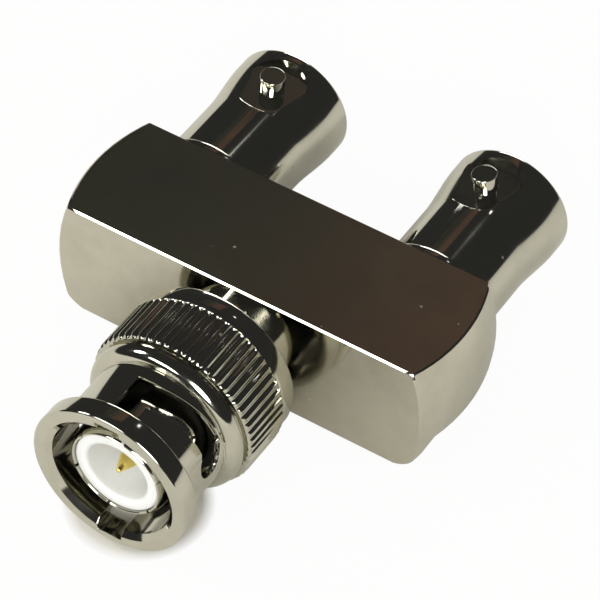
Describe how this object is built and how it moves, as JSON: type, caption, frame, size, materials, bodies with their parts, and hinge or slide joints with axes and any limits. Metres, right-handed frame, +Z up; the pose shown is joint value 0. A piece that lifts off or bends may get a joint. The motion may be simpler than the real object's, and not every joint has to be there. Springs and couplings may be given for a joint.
{
  "type": "bnc splitter adapter",
  "caption": "Nickel-plated coaxial splitter block: a bayonet plug with a turning coupling nut on the front feeds two parallel bayonet jacks on the back.",
  "frame": {"origin": "on the plug's axis, in the plane of its outer contact's front end", "axes": "+X along the block towards the right-hand jack as the plug's mouth is seen, +Y from the plug to the jacks, +Z up"},
  "size_m": [0.0326, 0.0388, 0.0134],
  "materials": {
    "nickel_plate": "bright nickel plate, slightly satin",
    "white_insulator": "smooth white fluoropolymer",
    "gold_plate": "polished gold plate",
    "bare_brass": "turned brass",
    "spring_steel": "bright spring steel",
    "seal_rubber": "soft silicone rubber"
  },
  "bodies": {
    "adapter": {"block": "nickel_plate", "end_plug": "nickel_plate", "crossbar": "bare_brass", "bar_sleeve_left": "white_insulator", "bar_sleeve_right": "white_insulator", "jack_shell_left": "nickel_plate", "jack_shell_right": "nickel_plate", "jack_insulator_left": "white_insulator", "jack_insulator_right": "white_insulator", "jack_contact_left": "gold_plate", "jack_contact_right": "gold_plate", "plug_body": "nickel_plate", "plug_sleeve": "nickel_plate", "plug_insulator": "white_insulator", "plug_pin": "gold_plate", "seal_ring": "seal_rubber", "wave_washer": "spring_steel"},
    "thrust_washer": {"thrust_washer": "spring_steel"},
    "coupling_nut": {"coupling_nut": "nickel_plate", "retaining_ring": "spring_steel"}
  },
  "joints": [
    {"name": "coupling_slide", "type": "slide", "parent": "adapter", "child": "thrust_washer", "axis": [0, -1, 0], "range_m": [0, 0.0014], "stiffness_N_per_m": 12000, "springref_m": -0.0002, "deforming": ["wave_washer"]},
    {"name": "coupling_turn", "type": "hinge", "parent": "thrust_washer", "child": "coupling_nut", "pos_m": [0, 0.0045, 0], "axis": [0, 1, 0], "continuous": true}
  ]
}
